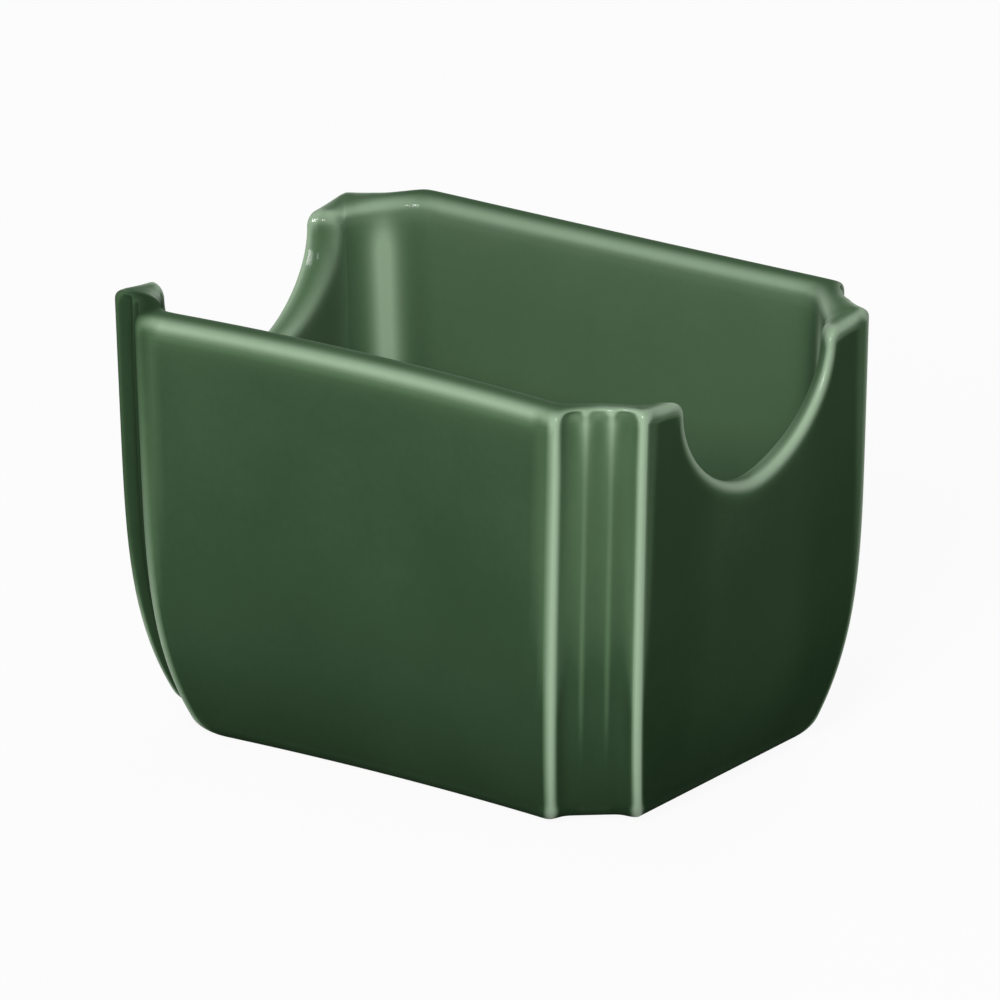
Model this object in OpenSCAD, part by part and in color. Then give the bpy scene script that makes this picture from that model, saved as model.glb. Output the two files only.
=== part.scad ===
// Sugar packet holder: an open oblong box of cast white china under a green glaze.
// The long sides run along X and the notched ends face +X and -X.
// The origin is at the middle of the foot, on the table.

/* [Holder] */
// Length between the two end walls' outer faces at the rim
holder_length = 98; // [86:1:120]
// Width between the two long walls' outer faces at the corners of the rim
holder_width = 74.5; // [66:0.5:92]
// Height of the rim above the table, at the corners
holder_height = 68.7; // [58:0.1:80]

/* [Walls] */
// Thickness of the long walls
side_wall = 5.3; // [3.4:0.1:5.6]
// Thickness of the notched end walls
end_wall = 3.9; // [3.4:0.1:5.2]
// Thickness of the floor inside the foot
floor_thickness = 4.5; // [3:0.1:7]
// How far each long wall bows in at the middle of the rim
waist = 1.2; // [0:0.1:3.5]
// How much higher the rim stands at the middle of each long wall than at the corners
rim_rise = 0.4; // [0:0.1:1.5]
// How much lower the rim lies beside each notch than at the corners
rim_fall = 1.5; // [0:0.1:2]

/* [Taper] */
// How far the end walls lean in from the rim to the table
end_lean = 2.1; // [0:0.1:3]
// How far the long walls lean in from the rim to the table
side_lean = 0.2; // [0:0.1:3]
// How far the lower part of the end walls curves in
end_curve = 4.6; // [1:0.1:7]
// How far the lower part of the long walls curves in
side_curve = 7.4; // [1:0.1:8]
// Height at which the walls start to curve in
curve_height = 51; // [34:0.5:56]
// Radius where the walls turn under to the foot
foot_radius = 3.7; // [2:0.1:4.5]
// Radius where the walls meet the floor inside
cavity_radius = 6; // [3:0.5:8]

/* [Fluted corners] */
// Length of each cut corner along the long wall
corner_along = 10.3; // [8:0.1:13]
// Length of each cut corner along the end wall
corner_across = 8.3; // [7:0.1:11]
// Width of the round bead at each side of a cut corner
bead_width = 2; // [1.6:0.1:2.8]
// How far the fluted panel lies behind the beads
panel_recess = 1.4; // [0.6:0.1:1.8]
// Depth of each flute in the panel
flute_depth = 0.45; // [0.1:0.05:0.8]
// Number of flutes in each panel
flute_count = 3; // [2:1:5]
// Length of the soft cut across each corner of the cavity, along each wall
cavity_cut = 8.5; // [5:0.5:10]

/* [Notches] */
// Half the width of the finger notch in each end wall, between its shoulders
notch_half_width = 18.3; // [12:0.1:19]
// Depth of the finger notch below the rim beside it
notch_depth = 17.8; // [10:0.1:20]
// How much further out each side of the notch lies on the cavity's face than outside
notch_flare = 2.7; // [0:0.1:3.5]
// Width of each rounded shoulder where the rim turns down into the notch
shoulder_width = 2.3; // [2:0.1:8]
// Height of each rounded shoulder
shoulder_height = 2.2; // [2:0.1:6]

/* [Foot] */
// Width of the bare ring that the holder stands on
foot_width = 4; // [3:0.5:6]
// Depth of the hollow inside that ring
foot_hollow = 1.2; // [0.6:0.1:1.8]

/* [Glaze] */
// Thickness of the fused glass skin
glaze_thickness = 0.3; // [0.2:0.05:0.5]

/* [Hidden] */

// Counts of faces along each stretch of a quarter of the outline
notch_steps = 6;
shoulder_steps = 3;
bead_steps = 2;
flute_steps = 3;
side_steps = 3;
// Counts of faces up and down the walls
rim_steps = 3;
upper_steps = 2;
lower_steps = 5;
radius_steps = 3;

// Shape of the notch's curve: 1 is an ellipse, more is a narrower bottom
notch_power = 1.12;
// Shape of the rim in section: 2 is an oval, more is squarer
rim_fullness = 2.7;
// Share of the rim's fall towards a notch that happens along the end wall, the rest being along the corner
fall_share = 0.7;
// Shares of the room beside the notch, on the cavity's face, that its flare and its shoulder may take
flare_share = 0.55;
shoulder_share = 0.85;
// Share of the notch's depth over which the flare grows towards the rim
flare_rise_share = 0.5;
// Shape of the lower curve of the walls: 2 is a parabola
curve_power = 3.9;
// How much closer the rows of points lie towards the foot: 1 is evenly
row_power = 1.4;
// How far round the foot's radius the glaze runs, in degrees from the wall
glaze_end_angle = 60;
// Share of the height over which the flutes fade out above the foot
flute_fade_share = 0.35;

half_length = holder_length / 2;
half_width = holder_width / 2;
// Where the wall's edges have finished rounding over into flat faces
rim_band = side_wall / 2;
// Height at which the rows of points below the notches become level
level_height = holder_height - rim_fall - notch_depth - 2 * rim_band;
// The two beads of the corner where X and Y are positive
end_bead = [half_length, half_width - corner_across];
side_bead = [half_length - corner_along, half_width];
chord = norm(side_bead - end_bead);
chord_way = (side_bead - end_bead) / chord;
chord_in = [-chord_way[1], chord_way[0]];
// The same two places on the cavity's wall
end_inner = [half_length - end_wall, half_width - side_wall - cavity_cut];
side_inner = [half_length - end_wall - cavity_cut, half_width - side_wall];

function clamp01(t) = max(0, min(1, t));
function soft(t) = clamp01(t) * clamp01(t) * (3 - 2 * clamp01(t));
function unit(v) = v / norm(v);

// A point on the notch's curve at angle a from its bottom: distance from the middle, height from the rim
function notch_point(a) = [
    notch_half_width * pow(sin(a), notch_power),
    -shoulder_height - (notch_depth - shoulder_height) * pow(cos(a), notch_power)
];
// The way from that point into the wall
function notch_way(a) =
    let (step = 1, low = notch_point(max(a - step, 0)), high = notch_point(min(a + step, 90)))
    unit([high[1] - low[1], low[0] - high[0]]);

// Columns of points round a quarter of the outline, from the middle of an end to the middle of a side.
// Each holds its outer place, its inner place unless it is on an end wall, the rim's height there, the way
// into the wall along and down it, how far along it the column runs down to the level height, its share of
// flute, and its way along the wall where the rim's rounding ends.
shoulder_end = notch_half_width + shoulder_width;
notch_foot = notch_half_width + rim_band;
// How far a place on an end wall lies past the notch, as a share of the way to the bead
function past_notch(y) = clamp01((y - notch_half_width) / (end_bead[1] - notch_half_width));
function rim_drop(share) = rim_fall * (1 - soft(share));
function end_column(y, height, way, foot, deep_way) = [
    [half_length, y],
    undef,
    height - rim_drop(fall_share * past_notch(y)),
    way,
    foot - y,
    0,
    deep_way
];
notch_columns = [
    for (k = [0 : notch_steps - 1])
        let (a = 90 * k / notch_steps, at = notch_point(a), way = k == 0 ? [0, -1] : notch_way(a))
        end_column(at[0], at[1], way, notch_foot * k / notch_steps, way[0])
];
shoulder_columns = [
    for (k = [0 : shoulder_steps])
        let (
            a = 90 * k / shoulder_steps,
            y = shoulder_end - shoulder_width * cos(a),
            foot = notch_foot + (end_bead[1] - notch_foot) * k / (shoulder_steps + 1)
        )
        end_column(
            y,
            shoulder_height * (sin(a) - 1),
            unit([shoulder_height * cos(a), -shoulder_width * sin(a)]),
            foot,
            (foot - y) / rim_band
        )
];

// Distances along the chord from the end bead to the side bead, and how deep the panel lies there
flute_width = chord / flute_count;
chord_stops = concat(
    [for (k = [0 : bead_steps - 1]) bead_width * k / bead_steps],
    [
        for (flute = [0 : flute_count - 1], k = [0 : flute_steps - 1])
            let (
                start = max(bead_width, flute * flute_width),
                end = min(chord - bead_width, (flute + 1) * flute_width)
            )
            start + (end - start) * k / flute_steps
    ],
    [for (k = [0 : bead_steps]) chord - bead_width + bead_width * k / bead_steps]
);
function panel_depth(s) = panel_recess * soft(min(s, chord - s) / bead_width);
function flute_share(s) =
    let (from_middle = 2 * (s / flute_width - floor(s / flute_width)) - 1)
    1 - from_middle * from_middle;
corner_columns = [
    for (s = chord_stops)
        [
            end_bead + s * chord_way + panel_depth(s) * chord_in,
            end_inner + s / chord * (side_inner - end_inner),
            -rim_drop(fall_share + (1 - fall_share) * s / chord),
            [0, -1],
            0,
            flute_share(s),
            0
        ]
];
side_columns = [
    for (k = [1 : side_steps])
        let (share = 1 - k / side_steps, bow = 1 - share * share)
        [
            [side_bead[0] * share, half_width - waist * bow],
            [side_inner[0] * share, half_width - side_wall - waist * bow],
            rim_rise * bow,
            [0, -1],
            0,
            0,
            0
        ]
];
columns = concat(notch_columns, shoulder_columns, corner_columns, side_columns);

// How far the walls have come in at a height, along X and along Y
function lean_in(z) =
    let (down = 1 - z / holder_height, curve = pow(clamp01(1 - z / curve_height), curve_power))
    [end_lean * down + end_curve * curve, side_lean * down + side_curve * curve];
// How strongly the flutes are cut at a height
function flute_at(z) = soft(z / (flute_fade_share * holder_height));

// A place in plan moved in: corners move whole, and the walls between them are drawn in evenly
function drawn_in(at, by) = [
    at[0] - by[0] * clamp01(at[0] / side_bead[0]),
    at[1] - by[1] * clamp01(at[1] / end_bead[1])
];
// The place on the cavity's wall that faces a place along an end wall, low down and beside the notch
inner_room = end_inner[1] - notch_half_width;
inner_edge = notch_half_width + min(notch_flare, flare_share * inner_room);
inner_shoulder = min(inner_edge + flare_share * shoulder_width, notch_half_width + shoulder_share * inner_room);
function low_cavity(y) = y + past_notch(y) * (end_inner[1] - end_bead[1]);
function flared_cavity(y) =
    y < notch_half_width ? y * inner_edge / notch_half_width
    : y < shoulder_end ? inner_edge + (inner_shoulder - inner_edge) * (y - notch_half_width) / shoulder_width
    : inner_shoulder + (end_inner[1] - inner_shoulder) * (y - shoulder_end) / (end_bead[1] - shoulder_end);
function end_cavity(y, z) =
    let (flared = soft((z - level_height) / (flare_rise_share * notch_depth)))
    [half_length - end_wall, low_cavity(y) + (flared_cavity(y) - low_cavity(y)) * flared];
// A point of a column: reach runs from 1 on the outer face, through 0 on the rim's crest, to -1 on the
// inner face, along moves it along the wall, extra moves it further in, and skin is its depth under the glaze
function wall_point(column, z, reach, along, extra, skin) =
    let (
        outer = column[0] + [0, along] + flute_depth * column[5] * flute_at(z) * chord_in,
        inner = is_undef(column[1]) ? end_cavity(outer[1], z) : column[1],
        middle = (outer + inner) / 2,
        half = norm(outer - inner) / 2,
        at = middle + unit(outer - inner) * (half - skin) * reach,
        place = drawn_in(at, lean_in(z) + [extra, extra])
    )
    [place[0], place[1], z];

// How far along the wall a column has moved at a depth under the rim's crest
function along_at(column, depth) =
    let (deep = pow(depth / rim_band, 2))
    depth * ((1 - deep) * column[3][0] + deep * column[6]);
function fuller(t) = pow(max(t, 0), 2 / rim_fullness);
// Points over half of the rim's rounding, from its crest to the flat face on one side
function rim_points(column, side, first, skin) = [
    for (k = [first : rim_steps])
        let (a = 90 * k / rim_steps, depth = rim_band - (rim_band - skin) * fuller(cos(a)))
        wall_point(
            column,
            holder_height + column[2] + column[3][1] * depth,
            side * fuller(sin(a)),
            along_at(column, depth),
            0,
            skin
        )
];
// Points from the rim's rounding down to the level height
function upper_points(column, side, skin) =
    let (
        top = holder_height + column[2] + column[3][1] * rim_band,
        start = along_at(column, rim_band),
        end = column[4]
    )
    [
        for (k = [1 : upper_steps])
            let (share = k / upper_steps)
            wall_point(column, top + (level_height - top) * share, side, start + (end - start) * share, 0, skin)
    ];
// Points from the level height down to the foot's radius, and round it to an angle
function outer_low_points(column, skin) = [
    for (k = [1 : lower_steps])
        let (z = foot_radius + (level_height - foot_radius) * pow(1 - k / lower_steps, row_power))
        wall_point(column, z, 1, column[4], 0, skin)
];
function foot_point(column, a, skin) = wall_point(
    column,
    foot_radius - (foot_radius - skin) * sin(a),
    1,
    column[4],
    foot_radius * (1 - cos(a)) + skin * (cos(a) - 1),
    skin
);
function foot_points(column, skin) = [
    for (k = [1 : radius_steps - 1])
        foot_point(column, glaze_end_angle * k / (radius_steps - 1), skin)
];
// Points from the level height down the cavity to its floor
cavity_turn = floor_thickness + cavity_radius;
function inner_low_points(column, skin) = concat(
    [
        for (k = [1 : lower_steps - 2])
            let (z = cavity_turn + (level_height - cavity_turn) * pow(1 - k / (lower_steps - 2), row_power))
            wall_point(column, z, -1, column[4], 0, skin)
    ],
    [
        for (k = [1 : radius_steps])
            let (a = 90 * k / radius_steps)
            wall_point(
                column,
                cavity_turn - (cavity_radius + skin) * sin(a),
                -1,
                column[4],
                (cavity_radius + skin) * (1 - cos(a)),
                skin
            )
    ]
);

function reversed(list) = [for (k = [len(list) - 1 : -1 : 0]) list[k]];
// One column of the glazed surface, from its end on the foot, up, over the rim and down to the floor
function glazed_column(column, skin) = concat(
    reversed(foot_points(column, skin)),
    reversed(outer_low_points(column, skin)),
    reversed(upper_points(column, 1, skin)),
    reversed(rim_points(column, 1, 0, skin)),
    rim_points(column, -1, 1, skin),
    upper_points(column, -1, skin),
    inner_low_points(column, skin)
);
// One column of the bare foot, from the table to the glaze's end
function bare_column(column) = [
    foot_point(column, 90, 0),
    foot_point(column, glaze_end_angle, 0)
];
// The edge of the hollow in the foot, at a height
function hollow_point(column, z) =
    let (edge = wall_point(column, 0, -1, column[4], foot_radius + foot_width - side_wall, 0))
    [edge[0], edge[1], z];

// A quarter's columns carried round all four quarters
function flipped(points, fx, fy) = [for (p = points) [p[0] * fx, p[1] * fy, p[2]]];
function round_about(quarter) =
    let (last = len(quarter) - 1)
    concat(
        quarter,
        [for (k = [last - 1 : -1 : 0]) flipped(quarter[k], -1, 1)],
        [for (k = [1 : last]) flipped(quarter[k], -1, -1)],
        [for (k = [last - 1 : -1 : 1]) flipped(quarter[k], 1, -1)]
    );
function flatten(lists) = [for (list = lists) for (item = list) item];

// Triangles of a closed skin, its points numbered from a first one: a fan to a middle point at the start,
// a sheet of columns all the way round, and a fan at the end. Each triangle shares an edge with one before it.
function skin_faces(count, rows, first) =
    let (middle = first + count * rows)
    concat(
        [for (c = [0 : count - 1]) [first + c * rows, first + (c + 1) % count * rows, middle]],
        [
            for (c = [0 : count - 1], r = [0 : rows - 2])
                let (
                    a = first + c * rows + r,
                    b = first + (c + 1) % count * rows + r
                )
                for (half = [[a, b + 1, b], [a, a + 1, b + 1]])
                    half
        ],
        [
            for (c = [0 : count - 1])
                [first + (c + 1) % count * rows + rows - 1, first + c * rows + rows - 1, middle + 1]
        ]
    );
// The points of such a skin, with its middle points at two heights
function skin_points(sheet, start, end) = concat(flatten(sheet), [[0, 0, start], [0, 0, end]]);
function carried(skin) = round_about([for (column = columns) glazed_column(column, skin)]);

// The cast china: everything under the glaze, and the bare ring that it stands on
module china_body() {
    core = carried(glaze_thickness);
    foot = round_about([
        for (column = columns)
            concat(
                [hollow_point(column, foot_hollow + glaze_thickness), hollow_point(column, 0)],
                bare_column(column)
            )
    ]);
    sheet = [for (k = [0 : len(core) - 1]) concat(foot[k], core[k])];
    color("antiquewhite")
        polyhedron(
            points = skin_points(sheet, foot_hollow + glaze_thickness, floor_thickness - glaze_thickness),
            faces = skin_faces(len(sheet), len(sheet[0]), 0)
        );
}

// The glaze: a thin skin over the walls, the rim and the cavity, and a patch in the foot's hollow
module glaze_coat() {
    core = carried(glaze_thickness);
    face = carried(0);
    sheet = [for (k = [0 : len(core) - 1]) concat(reversed(core[k]), face[k])];
    coat = skin_points(sheet, floor_thickness - glaze_thickness, floor_thickness);
    patch = round_about([
        for (column = columns)
            [hollow_point(column, foot_hollow), hollow_point(column, foot_hollow + glaze_thickness)]
    ]);
    color("darkgreen")
        polyhedron(
            points = concat(coat, skin_points(patch, foot_hollow, foot_hollow + glaze_thickness)),
            faces = concat(
                skin_faces(len(sheet), len(sheet[0]), 0),
                skin_faces(len(patch), len(patch[0]), len(coat))
            )
        );
}

china_body();
glaze_coat();
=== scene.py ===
"""A sugar packet holder of cast china under a green glaze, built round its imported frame, in a studio.

The holder's long walls run along X and its notched ends face +X and -X. Everything is in metres, and the
origin is in the middle of the foot, on the table.
"""

import math

import bpy
import numpy as np
from mathutils import Matrix, Vector


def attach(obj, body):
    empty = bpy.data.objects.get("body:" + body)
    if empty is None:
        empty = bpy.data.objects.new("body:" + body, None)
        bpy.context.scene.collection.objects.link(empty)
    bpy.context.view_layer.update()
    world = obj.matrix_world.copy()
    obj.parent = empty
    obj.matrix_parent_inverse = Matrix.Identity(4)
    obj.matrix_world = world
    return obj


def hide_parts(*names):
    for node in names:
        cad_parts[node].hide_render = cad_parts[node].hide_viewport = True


bl_info = {
    "name": "Sugar Packet Holder",
    "version": (1, 0, 0),
    "blender": (4, 5, 0),
    "location": "View3D > Sidebar > Holder",
    "description": "Builds a glazed sugar packet holder and the studio that shows it",
    "category": "Add Mesh",
}

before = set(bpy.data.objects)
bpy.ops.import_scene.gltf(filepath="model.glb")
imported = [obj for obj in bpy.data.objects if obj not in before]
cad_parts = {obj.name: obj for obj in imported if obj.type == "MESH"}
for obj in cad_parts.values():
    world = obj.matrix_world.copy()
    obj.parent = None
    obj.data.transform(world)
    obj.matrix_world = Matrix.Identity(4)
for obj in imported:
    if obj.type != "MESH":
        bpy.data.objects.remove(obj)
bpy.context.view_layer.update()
BODY = "root"
MM = 0.001


# Sizes and colours that a user would change

def length(name, description, default, low, high):
    """A size, stored in metres and given here in millimetres."""
    return bpy.props.FloatProperty(
        name=name, description=description, default=default * MM, min=low * MM, max=high * MM,
        unit="LENGTH", subtype="DISTANCE", precision=5,
    )


def share(name, description, default, low=0.0, high=1.0):
    return bpy.props.FloatProperty(name=name, description=description, default=default, min=low, max=high)


def power(name, description, default):
    return bpy.props.FloatProperty(
        name=name, description=description, default=default, min=0.0, max=500.0, unit="POWER",
    )


def angle(name, description, default):
    return bpy.props.FloatProperty(
        name=name, description=description, default=math.radians(default), subtype="ANGLE",
    )


def colour(name, description, default):
    return bpy.props.FloatVectorProperty(
        name=name, description=description, default=default, size=3, min=0.0, max=1.0, subtype="COLOR",
    )


class HolderSizes(bpy.types.PropertyGroup):
    """Sizes of the holder's walls, corners, notches and foot."""

    length: length("Length", "Between the end walls' outer faces at the rim", 97.9, 86, 120)
    width: length("Width", "Between the long walls' outer faces at the rim's corners", 74.5, 66, 92)
    height: length("Height", "Height of the rim's corners above the table", 68.7, 58, 80)
    side_wall: length("Side wall", "Thickness of the long walls", 5.3, 3.4, 6.0)
    end_wall: length("End wall", "Thickness of the notched end walls", 3.9, 3.4, 5.2)
    floor: length("Floor", "Thickness of the floor inside the foot", 4.5, 3, 7)
    waist: length("Waist", "How far each long wall's rim bows in", 1.2, 0, 3.5)
    rim_rise: length("Rim rise", "How much higher the rim is halfway along a long wall", 0.4, 0, 1.5)
    rim_fall: length("Rim fall", "How much lower the rim lies beside each notch", 1.3, 0, 2.5)
    rim_outer: length("Rim rounding outside", "Height of the rim's rounding outside", 2.6, 1, 5)
    rim_inner: length("Rim rounding inside", "Height of the rim's rounding inside", 2.6, 1, 5)
    end_rim_outer: length("End rim rounding outside", "The same on the end walls' outer side", 1.8, 0.8, 5)
    end_rim_inner: length("End rim rounding inside", "The same on the end walls' inner side", 2.2, 1, 7)
    corner_rim: length("Corner rim rounding", "The same on the outer side of the cut corners", 1.4, 0.8, 5)
    end_crest: share("End crest", "How far out the crest lies on the end walls", 0.3)
    rim_fullness: share("Rim fullness", "2 for an oval rim, more for a squarer one", 2.7, 2, 6)
    end_lean: length("End lean", "How far the end walls lean in downwards", 2.1, 0, 3)
    side_lean: length("Side lean", "How far the long walls lean in downwards", 0.2, 0, 3)
    end_curve: length("End curve", "How far the end walls curve in low down", 4.6, 1, 7)
    side_curve: length("Side curve", "How far the long walls curve in low down", 7.4, 1, 8)
    curve_height: length("Curve height", "Height at which the walls start to curve in", 51.0, 34, 56)
    foot_radius: length("Foot radius", "Radius where the walls turn under to the foot", 3.7, 2, 4.5)
    cavity_radius: length("Cavity radius", "Radius where the walls meet the floor inside", 6.0, 3, 8)
    corner_along: length("Corner along", "Length of each cut corner along the long wall", 10.3, 8, 13)
    corner_across: length("Corner across", "Length of each cut corner along the end wall", 8.3, 7, 11)
    bead_width: length("Bead width", "Width of the bead at each side of a cut corner", 2.7, 1.6, 3.4)
    bead_softness: length("Bead softness", "How softly the beads are rounded in plan", 0.8, 0.1, 1.2)
    bead_lift: length("Bead lift", "How far the beads stand out before they are rounded", 0.26, 0, 1)
    panel_recess: length("Panel recess", "How far the fluted panel lies behind the beads", 1.4, 0.6, 1.8)
    flute_depth: length("Flute depth", "Depth of each flute low on the panel", 0.4, 0.1, 0.8)
    arris_softness: length("Arris softness", "Rounding of the edges between the flutes", 0.34, 0.05, 0.5)
    flute_top_depth: length("Flute depth at the rim", "Depth of each flute under the rim", 0.8, 0.1, 1.2)
    arris_top_softness: length("Arris softness at the rim", "Rounding of those edges there", 0.5, 0.05, 0.8)
    flute_start: length("Flute start", "Height over which the flutes change to the lower form", 9.0, 2, 20)
    cavity_cut: length("Cavity cut", "Soft cut across each corner of the cavity", 8.5, 5, 10)
    cavity_softness: length("Cavity softness", "Rounding of the cavity's corners in plan", 1.8, 0.3, 4)
    notch_half: length("Notch half width", "Half the finger notch between its shoulders", 18.3, 12, 19)
    notch_depth: length("Notch depth", "Depth of the finger notch below the rim beside it", 17.8, 10, 20)
    notch_flare: length("Notch flare", "How much wider each side is on the cavity's face", 2.7, 0, 4)
    shoulder_width: length("Shoulder width", "Width of each rounded shoulder beside the notch", 2.3, 1, 8)
    shoulder_height: length("Shoulder height", "Height of each rounded shoulder", 2.2, 1, 6)
    foot_width: length("Foot width", "Width of the bare ring under the holder", 4.0, 3, 6)
    foot_hollow: length("Foot hollow", "Depth of the hollow inside that ring", 1.2, 0.6, 1.8)
    glaze: length("Glaze", "Thickness of the fused glass skin", 0.3, 0.2, 0.5)


class GlazeLook(bpy.types.PropertyGroup):
    """Colours and gloss of the green glaze."""

    # Painted shade: the darkest colour, where shade is painted low on the walls and at the front left
    # corner
    pool: colour("Pooled glaze", "Where the glaze has run down and lies thickest", (0.015, 0.034, 0.0145))
    deep: colour("Deep glaze", "Where the glaze lies thick on the flat walls", (0.030, 0.060, 0.029))
    run: colour("Running glaze", "Where it is thinner, in the cavity and the panels", (0.066, 0.120, 0.062))
    mid: colour("Thinning glaze", "Where it begins to thin over rounded edges", (0.130, 0.200, 0.123))
    thin: colour("Breaking glaze", "Where it breaks and the china shows through", (0.256, 0.358, 0.242))
    gloss: share("Gloss", "Roughness of the fired surface", 0.22)
    level: share("Reflection", "Strength of the body glass's own reflection", 0.0)
    coat: share("Coat", "Strength of the clear surface's reflection on edges", 0.6)
    ripple: length("Ripple", "Height of the faint waves in the fired surface", 0.02, 0, 0.2)


class ChinaLook(bpy.types.PropertyGroup):
    """Colours of the bare china at the foot."""

    body: colour("Bare china", "Fired china where no glaze covers it", (0.66, 0.60, 0.48))
    speck: colour("Specks", "Small iron specks in the china", (0.32, 0.22, 0.13))
    wear: colour("Worn foot", "Grey marks where the foot has rubbed on tables", (0.42, 0.40, 0.36))


class StudioLook(bpy.types.PropertyGroup):
    """The floor, the lamps and the camera."""

    floor: colour("Floor", "Colour of the floor and the backdrop", (0.7, 0.7, 0.7))
    key: power("Key", "Power of the lamp in front", 17.0)
    top: power("Top", "Power of the lamp overhead", 3.0)
    back: power("Back", "Power of the lamp behind", 12.0)
    spark: power("Spark", "Power of the small lamp that draws bright lines on the edges", 3.0)
    azimuth: angle("Azimuth", "Where the camera stands round the holder", 36.18)
    elevation: angle("Elevation", "How high the camera looks from", 19.78)


# The form of the walls

# Fullness of the notch's curve and of the walls' curve towards the foot
NOTCH_POWER, CURVE_POWER = 1.12, 3.9
# How far round the foot's radius the glaze comes down, and the bare ring's inner step
GLAZE_END = math.radians(60.0)
RING_STEP = 0.25 * MM
# Flutes in a panel, where the first starts as a share of a bead, and how flat they are
FLUTES = 3
FLUTE_EDGE = 0.3
FLUTE_POWER, FLUTE_TOP_POWER = 2, 4
# Share of the height over which the flutes fade out above the foot
FLUTE_FADE = 0.35
# How suddenly the panel is cut in below the rim: more is squarer flute tops
CARVE_POWER = 4
# Where a corner's bead stands on the rim's way up from a notch to a long wall, outside and inside
FALL_SHARE, INNER_FALL_SHARE = 0.7, 0.45
# How much of a shoulder's width the cavity's face keeps, and of its depth a notch flares over
INNER_SHOULDER, FLARE_SHARE = 0.75, 0.5
# Close points that stand in for a line while it is smoothed, and the least smoothing at its end
OUTLINE_POINTS, LEAD_POINTS, CAVITY_POINTS, END_POINTS, FLUTE_POINTS = 2600, 120, 2000, 400, 900
LEAST_SOFTNESS = 0.2 * MM

# Columns of points over a quarter of the outline
NOTCH_COLUMNS, SHOULDER_COLUMNS, POST_COLUMNS = 26, 12, 8
BEAD_COLUMNS, PANEL_COLUMNS, WALL_COLUMNS = 9, 36, 18
# How columns crowd towards the corner on a long wall, and rings towards the foot and the floor
COLUMN_POWER, ROW_POWER = 1.5, 1.4
# Rings of points from the glaze's end up, over the rim and down inside, then under the foot
FOOT_RINGS, LOW_RINGS, HIGH_RINGS, RIM_RINGS = 7, 20, 21, 12
INNER_HIGH_RINGS, INNER_LOW_RINGS, COVE_RINGS = 15, 13, 10
FLOOR_SHARES = (0.85, 0.6, 0.3)
BARE_SHARES = (0.06, 0.3, 0.55, 0.8, 1.0)
BARE_FOOT_RINGS = 5


# How pale the glaze is drawn, from 0, darkest, to 1 where it breaks over an edge: its thinness, with
# painted shade and painted highlights added

# On the plain walls, with shade painted in towards the foot, and darker on the end walls beside the corners
WALL_THINNING, WALL_PAINTED_SHADE, PAINTED_SHADE_POWER = 0.19, 0.13, 1.5
FOOT_PAINTED_SHADE, END_CORNER_DARKENING = 0.03, 0.05
# On the fluted panels, more high up, and less low down, where shade is painted in
PANEL_THINNING, PANEL_RISE, PANEL_PAINTED_SHADE = 0.275, 0.03, 0.08
# How far behind the line between its beads a panel ends, and over what width
PANEL_BEHIND, PANEL_EDGE = 3.2 * MM, 1.5 * MM
# In the cavity, with a painted highlight down each corner and painted shade at each side of it
CAVITY_THINNING = 0.18
STREAK_HIGHLIGHT, STREAK_WIDTH = 0.75, 0.17
STREAK_SHADE, BESIDE_PLACE, BESIDE_WIDTH = 0.08, 0.45, 0.2
# In the foot's hollow
HOLLOW_THINNING = 0.45
# On the edges between the flutes: their pale tops, thin glaze with a painted highlight, and how far down
# tops and sharpness reach
RIDGE_THIN_AND_HIGHLIGHT = 1.8
RIDGE_LENGTH, ARRIS_LENGTH = 4.5 * MM, 9.0 * MM
# Where it has drained off the rim, outside partly a painted highlight: how deep it is thinnest, how far
# down it thickens again
DRAIN_START, DRAIN_LENGTH = 1.5 * MM, 0.95 * MM
DRAIN_AND_HIGHLIGHT_OUTSIDE, DRAIN_INSIDE = 0.9, 0.45
# How much shorter those are on the end walls, and how much weaker it is on the panels
END_START_CUT, END_LENGTH_CUT, PANEL_DRAIN_CUT = 0.45, 0.35, 0.85
# Over rounded edges: reach and weight of broad and fine bends, and the bends that it thins over
WIDE_REACH, WIDE_WEIGHT = 1.4 * MM, 1.2
FINE_REACH, FINE_WEIGHT = 0.45 * MM, 0.6
BEND_START, BEND_RANGE = 0.10, 0.75
# Shade is painted on the rim's crest and so many rings to each side, but less so on the end walls
CREST_PAINTED_SHADE, CREST_RINGS, END_CREST_CUT = 0.85, 6.0, 0.9
# Rings past the crest over which the outside's glaze turns into the cavity's
INSIDE_RINGS = 4.3
# Painted shade at the front left corner, on the edges and on the walls
PAINTED_SHADE_EDGES, PAINTED_SHADE_WALLS = 0.8, 0.75


def soft(t):
    """0 up to 0, 1 from 1 on, and an even curve between."""
    t = np.clip(t, 0.0, 1.0)
    return t * t * (3.0 - 2.0 * t)


def unit(v):
    return v / np.linalg.norm(v, axis=-1, keepdims=True)


def lengths_along(points):
    return np.concatenate([[0.0], np.cumsum(np.linalg.norm(np.diff(points, axis=0), axis=1))])


def resampled(points, along, count):
    """Even places along a line, and its points there."""
    places = np.linspace(0.0, along[-1], count)
    return places, np.stack([np.interp(places, along, points[:, k]) for k in range(2)], -1)


def smoothed(points, along, where, softness):
    """A dense open line of points, averaged in a bell shape round each of the given places along it."""
    spread = np.broadcast_to(softness, where.shape)[:, None]
    weight = np.exp(-0.5 * ((along[None, :] - where[:, None]) / spread) ** 2)
    weight *= np.gradient(along)[None, :]
    return weight @ points / weight.sum(1, keepdims=True)


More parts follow.
